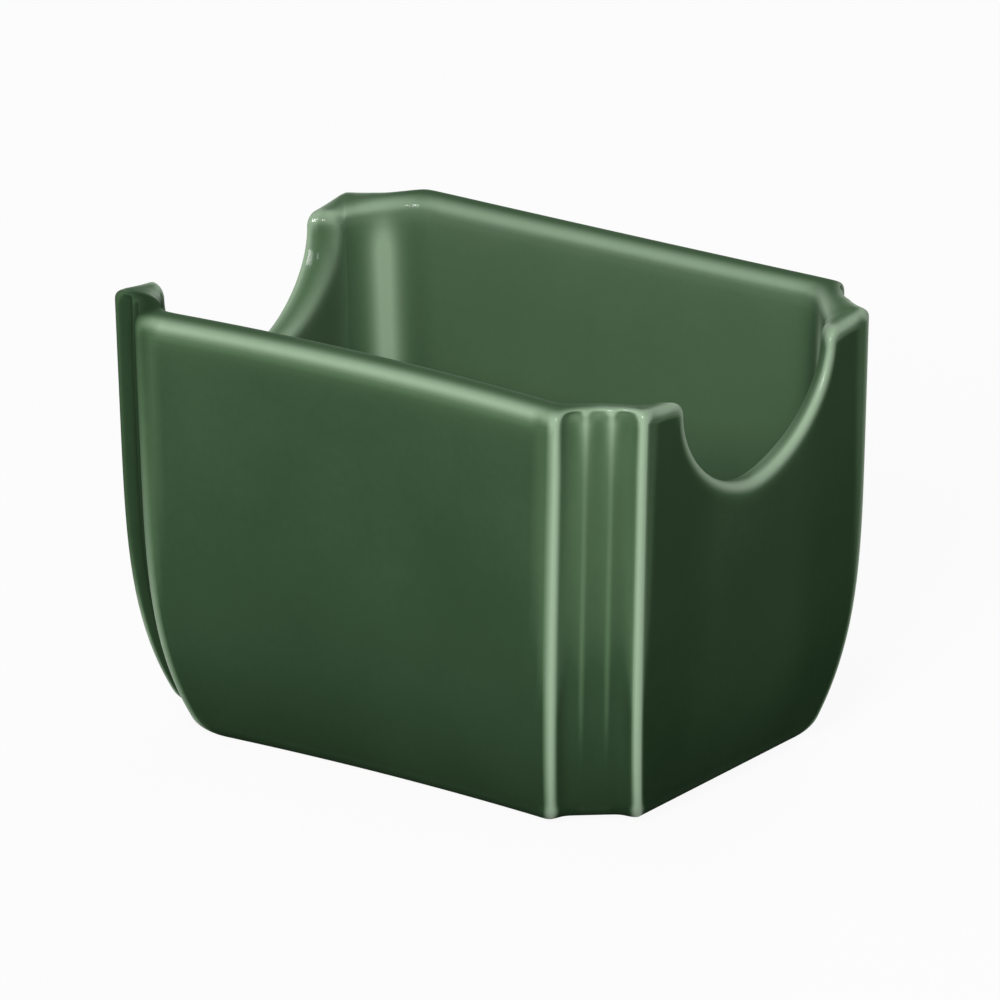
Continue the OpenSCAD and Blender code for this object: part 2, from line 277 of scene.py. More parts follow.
class Walls:
    """The holder's walls as rings and columns of points over a quarter of the outline."""

    def __init__(self, sizes):
        self.s = sizes
        self.half_length = sizes.length / 2
        self.half_width = sizes.width / 2
        self.end_bead = np.array([self.half_length, self.half_width - sizes.corner_across])
        self.side_bead = np.array([self.half_length - sizes.corner_along, self.half_width])
        run = self.side_bead - self.end_bead
        self.chord = float(np.linalg.norm(run))
        self.chord_way = run / self.chord
        self.chord_in = np.array([-self.chord_way[1], self.chord_way[0]])
        inner = np.array([self.half_length - sizes.end_wall, self.half_width - sizes.side_wall])
        self.end_inner = inner - (0.0, sizes.cavity_cut)
        self.side_inner = inner - (sizes.cavity_cut, 0.0)
        self.level = sizes.height - sizes.rim_fall - sizes.notch_depth - 2 * sizes.rim_inner
        self.columns()

    def across(self, y):
        """Place along the cavity's face for each place along the end wall's outer face."""
        s = self.s
        shoulder = s.notch_half + s.shoulder_width
        inner = s.notch_half + s.notch_flare
        inner_shoulder = inner + INNER_SHOULDER * s.shoulder_width
        places = [0.0, s.notch_half, shoulder, self.end_bead[1]]
        return np.interp(y, places, [0.0, inner, inner_shoulder, self.cavity[0, 1]])

    def fall(self, share):
        """How much lower the rim lies at a share of the way from a notch to a long wall."""
        return self.s.rim_fall * (1 - soft(share))

    def from_edge(self, corner):
        """Distance to the nearer end of a cut corner, for places along it."""
        return np.minimum(corner, self.chord - corner)

    def past_notch(self, y):
        """Share of the way from the notch's side to the bead at the corner."""
        return np.clip((y - self.s.notch_half) / (self.end_bead[1] - self.s.notch_half), 0.0, 1.0)

    def notch(self):
        """The finger notch and its shoulder: place along the wall, height, way in, place lower down."""
        s = self.s
        deep = s.notch_depth - s.shoulder_height
        shoulder = s.notch_half + s.shoulder_width
        a = np.linspace(0.0, math.pi / 2, NOTCH_COLUMNS, endpoint=False)
        nudge = 0.01
        ahead, behind = a + nudge, np.maximum(a - nudge, 0.0)
        dy = np.sin(ahead) ** NOTCH_POWER - np.sin(behind) ** NOTCH_POWER
        dh = np.cos(behind) ** NOTCH_POWER - np.cos(np.minimum(ahead, math.pi / 2)) ** NOTCH_POWER
        notch_way = unit(np.stack([dh * deep, -dy * s.notch_half], -1))
        notch_way[0] = (0.0, -1.0)
        b = np.linspace(0.0, math.pi / 2, SHOULDER_COLUMNS)
        shoulder_way = unit(np.stack([s.shoulder_height * np.cos(b), -s.shoulder_width * np.sin(b)], -1))
        post = np.linspace(shoulder, self.end_bead[1], POST_COLUMNS)[1:-1]
        y = np.concatenate([
            s.notch_half * np.sin(a) ** NOTCH_POWER,
            s.notch_half + s.shoulder_width * (1 - np.cos(b)),
            post,
        ])
        h = np.concatenate([
            -s.shoulder_height - deep * np.cos(a) ** NOTCH_POWER,
            -s.shoulder_height * (1 - np.sin(b)),
            np.zeros(len(post)),
        ])
        way = np.vstack([notch_way, shoulder_way, np.tile([0.0, -1.0], (len(post), 1))])
        # Lower down the columns stand evenly under the notch, and evenly beside it
        notch_foot = s.notch_half + s.rim_outer
        beside = np.linspace(0.0, 1.0, len(b) + len(post) + 1)[:-1]
        foot = np.concatenate([
            notch_foot * a / (math.pi / 2), notch_foot + (self.end_bead[1] - notch_foot) * beside,
        ])
        past = self.past_notch(y)
        self.inner_rise = self.fall(FALL_SHARE * past) - self.fall(INNER_FALL_SHARE * past)
        # Deeper in the wall the shoulder's points spread over the whole stretch beside the notch
        self.spread = np.concatenate([np.full(len(a), -1.0), beside])
        return y, h - self.fall(FALL_SHARE * past), way, foot

    def columns(self):
        """Columns over a quarter of the outline, from the middle of an end wall to that of a long wall."""
        s = self.s
        y, h, way, foot = self.notch()
        n_end = len(y)
        corner = np.concatenate([
            np.linspace(0.0, s.bead_width, BEAD_COLUMNS, endpoint=False),
            np.linspace(s.bead_width, self.chord - s.bead_width, PANEL_COLUMNS, endpoint=False),
            np.linspace(self.chord - s.bead_width, self.chord, BEAD_COLUMNS + 1),
        ])
        from_edge = self.from_edge(corner)
        ease = np.linspace(0.0, 1.0, WALL_COLUMNS)[1:]
        share_left = 1 - ease ** COLUMN_POWER
        bow = 1 - share_left ** 2

        def on_corner(values, end_value=0.0):
            """Numbers over the corner, with one value along the end wall and none along the long wall."""
            return np.concatenate([np.full(n_end, end_value), values, np.zeros(len(bow))])

        raw_end = np.stack([np.full(n_end, self.half_length), y], -1)
        raw_side = np.stack([self.side_bead[0] * share_left, self.half_width - s.waist * bow], -1)
        self.outer = self.corner_line(raw_end, corner, self.soft_hollow(corner, self.chord / 2), raw_side)
        carved = self.corner_line(raw_end, corner, self.soft_hollow(corner, s.bead_width), raw_side)
        self.carve = carved - self.outer
        self.flute = on_corner(self.flutes(corner, s.arris_softness, s.flute_depth, FLUTE_POWER))
        top = self.flutes(corner, s.arris_top_softness, s.flute_top_depth, FLUTE_TOP_POWER)
        self.flute_top = on_corner(top)
        ridge = np.where(from_edge > s.bead_width, np.clip(1 - top / s.flute_top_depth, 0.0, 1.0), 0.0)
        self.ridge = on_corner(ridge)
        self.between = on_corner(soft((from_edge / s.bead_width - 0.6) / 0.4))
        # The cavity's outline
        line = np.vstack([
            [self.end_inner[0], 0.0], self.end_inner, self.side_inner,
            np.stack([self.side_inner[0] * share_left, self.half_width - s.side_wall - s.waist * bow], -1),
        ])
        line_at = lengths_along(line)
        dense_t, dense = resampled(line, line_at, CAVITY_POINTS)
        first, last = line_at[1], line_at[2]
        where = np.concatenate([
            first + corner / self.chord * (last - first),
            last + (line_at[-1] - last) * ease ** COLUMN_POWER,
        ])
        spread = np.minimum(s.cavity_softness, np.maximum((line_at[-1] - where) / 2, LEAST_SOFTNESS))
        self.cavity = smoothed(dense, dense_t, where, spread)
        self.cavity[-1] = (0.0, line[-1, 1])
        end_t = np.linspace(0.0, first, END_POINTS)
        spread = np.minimum(s.cavity_softness, np.maximum(end_t / 2, LEAST_SOFTNESS))
        self.end_line = smoothed(dense, dense_t, end_t, spread)
        # Heights of the rim, outside and on the cavity's side
        turn = corner / self.chord
        fall = self.fall(FALL_SHARE + (1 - FALL_SHARE) * turn)
        inner_rise = fall - self.fall(INNER_FALL_SHARE + (1 - INNER_FALL_SHARE) * turn)
        self.height = s.height + np.concatenate([h, -fall, s.rim_rise * bow])
        rise = on_corner(inner_rise)
        rise[:n_end] = self.inner_rise
        self.inner_height = self.height + rise
        straight = len(corner) + len(bow)
        self.way = np.vstack([way, np.tile([0.0, -1.0], (straight, 1))])
        self.shift = np.concatenate([foot - y, np.zeros(straight)])
        self.n_end = n_end
        self.corner_share = turn
        # The end walls' rim turns into the long walls' rim along the corners
        end = on_corner(1 - soft(turn), 1.0)
        tight = on_corner(soft(from_edge / s.bead_width))
        self.outer_band = s.rim_outer + (s.end_rim_outer - s.rim_outer) * end
        self.outer_band += (s.corner_rim - self.outer_band) * tight
        self.inner_band = s.rim_inner + (s.end_rim_inner - s.rim_inner) * end
        self.crest = s.end_crest * end
        self.end_share = end
        self.full_way = {side: self.deep_way(side) for side in (1, -1)}

    def deep_way(self, side):
        """The way along the wall at the full depth of the rim's rounding, for each column."""
        y, band = self.outer[: self.n_end, 1], self.band(side)[: self.n_end]
        low = self.s.notch_half + band
        spread = low + (self.end_bead[1] - low) * self.spread
        full = self.way[:, 0].copy()
        full[: self.n_end] = np.where(self.spread < 0, full[: self.n_end], (spread - y) / band)
        return full

    def along(self, side, depth):
        """How far along the wall each column has moved at a depth under the rim's crest."""
        deep = (depth / self.band(side)) ** 2
        return depth * ((1 - deep) * self.way[:, 0] + deep * self.full_way[side])

    def soft_hollow(self, corner, width):
        """Depth of the panel behind the beads at places along the corner, reached over a width."""
        return self.s.panel_recess * soft(self.from_edge(corner) / width)

    def corner_line(self, raw_end, corner, depth, raw_side):
        """The outline over a quarter, with its beads rounded."""
        s = self.s
        lift = s.bead_lift * np.exp(-0.5 * (self.from_edge(corner) / s.bead_softness) ** 2)
        raw_corner = self.end_bead + corner[:, None] * self.chord_way
        raw_corner = raw_corner + (depth - lift)[:, None] * self.chord_in
        raw = np.vstack([raw_end, raw_corner, raw_side])
        along = lengths_along(raw)
        fine_t, fine = resampled(raw, along, OUTLINE_POINTS)
        step, tail = fine[1] - fine[0], fine[-1] - fine[-2]
        back, on = np.arange(LEAD_POINTS, 0, -1), np.arange(1, LEAD_POINTS + 1)
        fine = np.vstack([fine[0] - step * back[:, None], fine, fine[-1] + tail * on[:, None]])
        fine_t = np.concatenate([
            -np.linalg.norm(step) * back, fine_t, along[-1] + np.linalg.norm(tail) * on,
        ])
        outer = smoothed(fine, fine_t, along, s.bead_softness)
        outer[0] = raw[0]
        outer[:, 0][: len(raw_end) // 2] = self.half_length
        outer[-1, 0] = 0.0
        return outer

    def flutes(self, corner, softness, depth, power):
        """How deep the flutes are cut at places along the corner: a higher power is a flatter flute."""
        s = self.s
        start = s.bead_width * FLUTE_EDGE
        width = (self.chord - 2 * start) / FLUTES
        lead = 1.5 * MM
        fine = np.linspace(-lead, self.chord + lead, FLUTE_POINTS)
        inside = (fine > start) & (fine < self.chord - start)
        across = 2 * (((fine - start) / width) % 1.0) - 1
        flute = np.where(inside, 1 - across ** power, 0.0)
        return depth * smoothed(flute[:, None], fine, corner, softness)[:, 0]

    def lean_in(self, z):
        """How far the end walls and the long walls have come in at a height."""
        s = self.s
        down = 1 - z / s.height
        curve = np.clip(1 - z / s.curve_height, 0.0, 1.0) ** CURVE_POWER
        return s.end_lean * down + s.end_curve * curve, s.side_lean * down + s.side_curve * curve

    def ring(self, z, reach, along, extra, skin):
        """A ring of points: reach is 1 on the outer face, 0 on the rim's crest, -1 on the cavity's face."""
        s = self.s
        z, along, reach = (np.broadcast_to(v, self.height.shape) for v in (z, along, reach))
        outer = self.outer + np.stack([np.zeros_like(along), along], -1)
        y = outer[: self.n_end, 1]
        straight = y + self.past_notch(y) * (self.cavity[0, 1] - self.end_bead[1])
        flare = soft((z[: self.n_end] - self.level) / (FLARE_SHARE * s.notch_depth))
        y_in = straight + (self.across(y) - straight) * flare
        x_in = np.interp(y_in, self.end_line[:, 1], self.end_line[:, 0])
        inner = np.vstack([np.stack([x_in, y_in], -1), self.cavity])
        middle = (outer + inner) / 2
        half = np.linalg.norm(outer - inner, axis=1, keepdims=True) / 2
        at = middle + unit(outer - inner) * (half - skin) * reach[:, None]
        fade = soft(z / (FLUTE_FADE * s.height))
        high = soft(1 - (self.height - self.outer_band - z) / s.flute_start)
        flute = (self.flute_top * high + self.flute * (1 - high)) * fade
        cut = np.clip(reach, 0.0, 1.0) ** CARVE_POWER
        at = at + cut[:, None] * (self.carve + flute[:, None] * self.chord_in)
        dx, dy = self.lean_in(z)
        x = at[:, 0] - (dx + extra) * np.clip(at[:, 0] / self.side_bead[0], 0.0, 1.0)
        y = at[:, 1] - (dy + extra) * np.clip(at[:, 1] / self.end_bead[1], 0.0, 1.0)
        return np.stack([x, y, z], -1)

    def band(self, side):
        """Height of the rim's rounding for each column, on the outer or the inner side."""
        return self.outer_band if side > 0 else self.inner_band

    def rim(self, side, angle, skin):
        """A ring of the rim's rounding and each point's depth below the crest."""
        power = 2 / self.s.rim_fullness
        band = self.band(side)
        depth = band - (band - skin) * max(math.cos(angle), 0.0) ** power
        reach = self.crest + (side - self.crest) * math.sin(angle) ** power
        z = self.height + (self.inner_height - self.height) * (1 - reach) / 2 + self.way[:, 1] * depth
        return self.ring(z, reach, self.along(side, depth), 0.0, skin), depth

    def upper(self, side, part, skin):
        """A ring between the rim's rounding and the level below the notch, and each point's depth."""
        band = self.band(side)
        top = (self.height if side > 0 else self.inner_height) + self.way[:, 1] * band
        start = self.along(side, band)
        z = top + (self.level - top) * part
        along = start + (self.shift - start) * part
        depth = np.hypot(along, z - self.height)
        return self.ring(z, side, along, 0.0, skin), depth

    def lower(self, side, part, skin):
        """A ring of the outer face or the cavity's face, from the level below the notch to the radius."""
        turn = self.s.foot_radius if side > 0 else self.s.floor + self.s.cavity_radius
        z = turn + (self.level - turn) * (1 - part) ** ROW_POWER
        return self.ring(z, side, self.shift, 0.0, skin)

    def foot(self, angle, skin):
        """A ring of the radius where the walls turn under."""
        r = self.s.foot_radius
        z = r - (r - skin) * math.sin(angle)
        extra = r * (1 - math.cos(angle)) + skin * (math.cos(angle) - 1)
        return self.ring(z, 1, self.shift, extra, skin)

    def cove(self, angle, skin):
        """A ring of the radius where the cavity's face meets its floor."""
        r = self.s.cavity_radius
        z = self.s.floor + r - (r + skin) * math.sin(angle)
        extra = (r + skin) * (1 - math.cos(angle))
        return self.ring(z, -1, self.shift, extra, skin)

    def hollow(self, z):
        """A ring of the foot's hollow, straight up from the inner side of the bare ring."""
        s = self.s
        extra = s.foot_radius + s.foot_width - s.side_wall
        ring = self.ring(0.0, -1, self.shift, extra, 0.0)
        ring[:, 2] = z
        return ring

    def glazed(self, skin):
        """Rings over the whole glazed face: from the foot up, over the rim and down to the floor."""
        far = np.full(len(self.height), self.s.height)
        quarter = math.pi / 2
        rows = [(self.foot(a, skin), far) for a in np.linspace(GLAZE_END, 0.0, FOOT_RINGS)[:-1]]
        rows += [(self.lower(1, p, skin), far) for p in np.linspace(1.0, 0.0, LOW_RINGS)]
        rows += [self.upper(1, p, skin) for p in np.linspace(1.0, 0.0, HIGH_RINGS)[1:]]
        rows += [self.rim(1, a, skin) for a in np.linspace(quarter, 0.0, RIM_RINGS)[1:]]
        self.crest_row = len(rows) - 1
        rows += [self.rim(-1, a, skin) for a in np.linspace(0.0, quarter, RIM_RINGS)[1:]]
        rows += [self.upper(-1, p, skin) for p in np.linspace(0.0, 1.0, INNER_HIGH_RINGS)[1:]]
        rows += [(self.lower(-1, p, skin), far) for p in np.linspace(0.0, 1.0, INNER_LOW_RINGS)[1:]]
        rows += [(self.cove(a, skin), far) for a in np.linspace(0.0, quarter, COVE_RINGS)[1:]]
        floor = rows[-1][0]
        rows += [(floor * (k, k, 1.0), far) for k in FLOOR_SHARES]
        self.depth = np.stack([depth for _, depth in rows])
        return np.stack([ring for ring, _ in rows])

    def carried(self, values):
        """Numbers for each point of a quarter's rings carried round all four quarters."""
        return all_round(np.stack([values] * 3, -1))[..., 2]

    def everywhere(self, values):
        """Numbers for each column of a quarter carried over all rings and quarters."""
        return self.carried(np.broadcast_to(values, self.depth.shape))

    def painted_shade_corner(self, face):
        """1 at the front left corner, where shade is painted into the glaze."""
        left, front = -face[..., 0], -face[..., 1]
        near_side = soft((left - self.side_bead[0] + 3 * MM) / (3 * MM))
        return near_side * soft((front - self.end_bead[1] + 2 * MM) / (2 * MM))

    def inside(self, face):
        """0 outside and on the rim's crest, 1 on the cavity's side."""
        rings = np.arange(len(face))[:, None] * np.ones(face.shape[1])
        return soft((rings - self.crest_row) / INSIDE_RINGS)

    def edges(self, face):
        """How thin the glaze draws over rounded edges, with painted shade along the rim's crest."""
        wide, fine = outward_bend(face, WIDE_REACH) * MM, outward_bend(face, FINE_REACH) * MM
        # Lower down it has run over the edges between the flutes
        run_over = 1 - np.exp(-(self.carried(self.depth) / ARRIS_LENGTH) ** 2)
        sharp = 1 - self.everywhere(self.between) * run_over
        bend = np.maximum(WIDE_WEIGHT * wide, FINE_WEIGHT * fine * sharp)
        rings = np.arange(len(face)) - self.crest_row
        # Painted shade along the rim's crest
        crest = np.exp(-(rings / CREST_RINGS) ** 2)[:, None]
        crest = crest * (1 - END_CREST_CUT * self.everywhere(self.end_share))
        return soft((bend - BEND_START) / BEND_RANGE) * (1 - CREST_PAINTED_SHADE * crest)

    def wall_glaze(self, x, y, low):
        """Thinness on the plain walls, with painted shade towards the foot."""
        # Painted shade, darker and darker towards the foot
        thin = WALL_THINNING - WALL_PAINTED_SHADE * low ** PAINTED_SHADE_POWER - FOOT_PAINTED_SHADE * soft((low - 0.7) / 0.2)
        # Darker on the end walls beside the corners
        beside = soft((x - self.side_bead[0] - 4 * MM) / (4 * MM)) * soft((y - 8 * MM) / (10 * MM))
        return thin - END_CORNER_DARKENING * beside

    def painted_streaks(self, low, z):
        """Painted highlights down the cavity's corners, with painted shade beside them, which fade at the
        rim and at the floor.
        """
        after = len(self.height) - self.n_end - len(self.corner_share)
        before = (self.outer[: self.n_end, 1] - self.end_bead[1]) / self.chord
        past = 1 + (self.side_bead[0] - self.outer[-after:, 0]) / self.chord
        place = self.everywhere(np.concatenate([before, self.corner_share, past])) - 0.5
        middle = np.exp(-(place / STREAK_WIDTH) ** 2)
        beside = np.exp(-((np.abs(place) - BESIDE_PLACE) / BESIDE_WIDTH) ** 2)
        above_floor = soft((z - self.s.floor - self.s.cavity_radius) / (0.4 * self.s.height))
        return (STREAK_HIGHLIGHT * middle - STREAK_SHADE * beside) * soft(low / 0.12) * above_floor

    def thin_and_painted_places(self, face):
        """How thin the glaze lies away from the edges, with painted shade and painted highlights in it."""
        x, y, z = np.abs(face[..., 0]), np.abs(face[..., 1]), face[..., 2]
        inside = self.inside(face)
        depth = self.carried(self.depth)
        low = np.clip(1 - z / self.s.height, 0.0, 1.0)
        behind = (x - self.end_bead[0]) * self.chord_in[0] + (y - self.end_bead[1]) * self.chord_in[1]
        panel = soft((PANEL_BEHIND - behind) / PANEL_EDGE) * (1 - inside)
        wall = self.wall_glaze(x, y, low)
        # Painted shade low down on the panels
        fluted = PANEL_THINNING + PANEL_RISE * soft(low / 0.3) - PANEL_PAINTED_SHADE * soft((low - 0.66) / 0.22)
        # The cavity's glaze carries the painted highlights and shade down its corners
        base = wall + panel * (fluted - wall) + inside * (CAVITY_THINNING + self.painted_streaks(low, z))
        # Pale tops of the edges between the flutes: thin glaze and a painted highlight
        ridge = self.everywhere(self.ridge) * np.exp(-depth / RIDGE_LENGTH) * (1 - inside)
        base = base + RIDGE_THIN_AND_HIGHLIGHT * ridge * soft((depth - 0.6 * DRAIN_START) / DRAIN_START)
        # It drains off the rim's edge: thinnest just below it, then thicker and thicker; outside, this pale
        # line is partly a painted highlight
        end = self.everywhere(self.end_share) * (1 - inside)
        start, reach = DRAIN_START * (1 - END_START_CUT * end), DRAIN_LENGTH * (1 - END_LENGTH_CUT * end)
        under = soft(depth / start) * np.exp(-np.maximum(depth - start, 0.0) / reach)
        outside = DRAIN_AND_HIGHLIGHT_OUTSIDE * (1 - PANEL_DRAIN_CUT * panel) * (1 - inside)
        drained = under * (outside + DRAIN_INSIDE * inside)
        return 1 - (1 - np.clip(base, 0.0, 1.0)) * (1 - drained)

    def bare(self):
        """Rings of the bare foot, from the hollow's ceiling down, under the ring, up to the glaze's end."""
        s = self.s
        rings = [self.hollow(s.foot_hollow + s.glaze), self.hollow(RING_STEP)]
        inner, outer = self.hollow(0.0), self.foot(math.pi / 2, 0.0)
        rings += [inner + (outer - inner) * k for k in BARE_SHARES]
        rings += [self.foot(a, 0.0) for a in np.linspace(math.pi / 2, GLAZE_END, BARE_FOOT_RINGS)[1:]]
        return np.stack(rings)


def all_round(rings):
    """Rings over a quarter of the outline carried round all four quarters."""
    parts = [
        rings,
        rings[:, -2::-1] * (-1, 1, 1),
        rings[:, 1:] * (-1, -1, 1),
        rings[:, -2:0:-1] * (1, -1, 1),
    ]
    return np.concatenate(parts, axis=1)


def link(thing):
    bpy.context.scene.collection.objects.link(thing)
    return thing


def skin_mesh(name, sheets):
    """A mesh of closed skins. Each is rings of points with a middle point at each end."""
    points, faces, first = [], [], 0
    for rings in sheets:
        rows, count = rings.shape[:2]
        index = first + np.arange(rows * count).reshape(rows, count)
        right = np.roll(index, -1, axis=1)
        quads = np.stack([index[:-1], right[:-1], right[1:], index[1:]], -1).reshape(-1, 4)
        start, end = first + rows * count, first + rows * count + 1
        fan = [[right[0, c], index[0, c], start] for c in range(count)]
        fan += [[index[-1, c], right[-1, c], end] for c in range(count)]
        middle = [[0.0, 0.0, rings[0, 0, 2]], [0.0, 0.0, rings[-1, 0, 2]]]
        points += rings.reshape(-1, 3).tolist() + middle
        faces += quads.tolist() + fan
        first += rows * count + 2
    mesh = bpy.data.meshes.new(name)
    mesh.from_pydata(points, [], faces)
    mesh.validate()
    mesh.shade_smooth()
    return link(bpy.data.objects.new(name, mesh))


def line_bend(points, normal, reach, closed):
    """How much lines of points bend away from their normal side, over a reach each way, in 1 per metre."""
    out = np.zeros(points.shape[:2])
    for k, line in enumerate(points):
        if closed:
            pad = 60
            line = np.vstack([line[-pad:], line, line[:pad]])
        along = lengths_along(line)
        mine = along[pad:-pad] if closed else along
        near = [
            np.stack([np.interp(mine + d, along, line[:, c]) for c in range(3)], -1)
            for d in (-reach, reach)
        ]
        sag = points[k] - (near[0] + near[1]) / 2
        out[k] = 2 * (sag * normal[k]).sum(-1) / reach ** 2
    if not closed:
        out[:, :2] = out[:, 2:3]
        out[:, -2:] = out[:, -3:-2]
    return out


def outward_bend(rings, reach):
    """How much the surface bends outwards, along the rings and up the columns together, in 1 per metre."""
    across = np.roll(rings, -1, 1) - np.roll(rings, 1, 1)
    up = np.gradient(rings, axis=0)
    normal = unit(np.cross(across, up))
    ring_bend = line_bend(rings, normal, reach, True)
    rise = line_bend(rings.transpose(1, 0, 2), normal.transpose(1, 0, 2), reach, False).T
    return ring_bend + rise


# Shader maths as plain expressions

class Value:
    """A socket or a number in a node tree, with Python's operators as Math nodes."""

    def __init__(self, nodes, socket):
        self.nodes, self.socket = nodes, socket

    def math(self, operation, *others, clamp=False):
        sockets = dict(enumerate((self,) + others))
        out = self.nodes.add("ShaderNodeMath", {"operation": operation, "use_clamp": clamp}, sockets)
        return Value(self.nodes, out.outputs[0])

    def __add__(self, other): return self.math("ADD", other)
    __radd__ = __add__
    def __mul__(self, other): return self.math("MULTIPLY", other)
    __rmul__ = __mul__
    def __sub__(self, other): return self.math("SUBTRACT", other)
    def __rsub__(self, other): return Value(self.nodes, other).math("SUBTRACT", self)
    def clamped(self): return self.math("ADD", 0.0, clamp=True)


class Nodes:
    """A material's or a world's node tree."""

    def __init__(self, owner):
        owner.use_nodes = True
        self.tree = owner.node_tree
        self.tree.nodes.clear()

    def add(self, kind, settings=None, inputs=None):
        node = self.tree.nodes.new(kind)
        for name, value in (settings or {}).items():
            if name == "stops":
                ramp = node.color_ramp
                while len(ramp.elements) < len(value):
                    ramp.elements.new(0.5)
                for element, (at, tint) in zip(ramp.elements, value):
                    element.position, element.color = at, tint
            else:
                setattr(node, name, value)
        for name, value in (inputs or {}).items():
            self.put(node, name, value)
        return node

    def put(self, node, name, value):
        if isinstance(value, Value):
            value = value.socket
        if isinstance(value, bpy.types.NodeSocket):
            self.tree.links.new(value, node.inputs[name])
        else:
            node.inputs[name].default_value = value

    def value(self, kind, output, settings=None, inputs=None):
        return Value(self, self.add(kind, settings, inputs).outputs[output])

    def mix(self, factor, a, b):
        """A blend of two colours."""
        node = self.add("ShaderNodeMix", {"data_type": "RGBA"}, {0: factor, 6: rgba(a), 7: rgba(b)})
        return Value(self, node.outputs[2])

    def blend(self, factor, a, b):
        """A blend of two shaders."""
        return self.add("ShaderNodeMixShader", inputs={0: factor, 1: a.outputs[0], 2: b.outputs[0]})

    def output(self, shader, kind="ShaderNodeOutputMaterial"):
        self.add(kind, inputs={"Surface": shader.outputs[0]})


def rgba(tint):
    if isinstance(tint, Value):
        return tint
    return tuple(tint) + (1.0,) if len(tint) == 3 else tuple(tint)


# Sizes of the glaze's clouds, waves and grain, in repeats per metre, and how strongly they show
GLAZE_CLOUDS, GLAZE_WAVES, GLAZE_GRAIN = 45.0, 160.0, 900.0
CLOUD_TINT, GRAIN_TINT, CLOUD_ROUGHNESS = 0.10, 0.03, 0.05
# Thinness at which each colour of the glaze shows: painted shade, deep, run, mid and thin
GLAZE_STOPS = (0.0, 0.15, 0.35, 0.6, 1.0)
# The clear surface's reflection starts at this thinness and leaves this much everywhere
COAT_START, LEAST_COAT = 0.25, 0.006
# Sizes of the bare china's grain, specks and worn marks
CHINA_GRAIN, CHINA_SPECKS, CHINA_WEAR = 1800.0, 420.0, 120.0
# Size of the specks and start of the wear, how sharp their edges are, and how strong their colours
SPECK_SIZE, SPECK_EDGE, SPECK_SHARE = 0.09, 18.0, 0.7
WEAR_START, WEAR_EDGE, WEAR_SHARE = 0.55, 4.0, 0.5


def noise(nodes, place, scale, detail):
    inputs = {"Vector": place, "Scale": scale, "Detail": detail}
    return nodes.value("ShaderNodeTexNoise", "Fac", inputs=inputs)


def glaze_material(look):
    """Deep green glaze that runs thin and pale over edges, with painted shade and painted highlights in its
    colour.
    """
    material = bpy.data.materials.new("green_glaze")
    nodes = Nodes(material)
    place = nodes.value("ShaderNodeTexCoord", "Object")
    # This number carries the glaze's thinness with painted shade and painted highlights
    thin = nodes.value("ShaderNodeAttribute", "Fac", {"attribute_name": "thinning"})
    cloud = noise(nodes, place, GLAZE_CLOUDS, 3.0)
    grain = noise(nodes, place, GLAZE_GRAIN, 2.0)
    waves = noise(nodes, place, GLAZE_WAVES, 1.0)
    amount = (thin + (cloud - 0.5) * CLOUD_TINT + (grain - 0.5) * GRAIN_TINT).clamped()
    colours = (look.pool, look.deep, look.run, look.mid, look.thin)
    stops = [(at, rgba(tint)) for at, tint in zip(GLAZE_STOPS, colours)]
    tint = nodes.value("ShaderNodeValToRGB", "Color", {"stops": stops}, {"Fac": amount})
    inputs = {"Height": waves, "Distance": look.ripple, "Strength": 0.5}
    shader = nodes.add("ShaderNodeBsdfPrincipled", inputs={
        "Base Color": tint, "Roughness": (cloud - 0.5) * CLOUD_ROUGHNESS + look.gloss,
        "Specular IOR Level": look.level, "Coat Roughness": 0.12,
        "Coat Weight": (thin - COAT_START).clamped() * look.coat + LEAST_COAT,
        "Normal": nodes.value("ShaderNodeBump", "Normal", inputs=inputs),
    })
    nodes.output(shader)
    return material


def china_material(look):
    """Bare fired china, with fine grain, specks and worn marks."""
    material = bpy.data.materials.new("bare_china")
    nodes = Nodes(material)
    place = nodes.value("ShaderNodeTexCoord", "Object")
    grain = noise(nodes, place, CHINA_GRAIN, 4.0)
    worn = noise(nodes, place, CHINA_WEAR, 3.0)
    inputs = {"Vector": place, "Scale": CHINA_SPECKS}
    specks = nodes.value("ShaderNodeTexVoronoi", "Distance", inputs=inputs)
    spot = ((SPECK_SIZE - specks) * SPECK_EDGE).clamped()
    rubbed = ((worn - WEAR_START) * WEAR_EDGE).clamped()
    tint = nodes.mix(rubbed * WEAR_SHARE, look.body, look.wear)
    tint = nodes.mix(spot * SPECK_SHARE, tint, look.speck)
    inputs = {"Height": grain, "Distance": 0.05 * MM, "Strength": 0.6}
    shader = nodes.add("ShaderNodeBsdfPrincipled", inputs={
        "Base Color": tint, "Roughness": 0.75 + (grain - 0.5) * 0.2,
        "Normal": nodes.value("ShaderNodeBump", "Normal", inputs=inputs),
    })
    nodes.output(shader)
    return material


def bright_rays(nodes):
    """1 for rays from the camera, from gloss and through glass, which see the background as it is."""
    path = nodes.add("ShaderNodeLightPath")
    kinds = ("Is Camera Ray", "Is Glossy Ray", "Is Transmission Ray")
    camera, gloss, glass = (Value(nodes, path.outputs[kind]) for kind in kinds)
    return (camera + gloss + glass).clamped()


# Operators, one for each piece and one for the studio

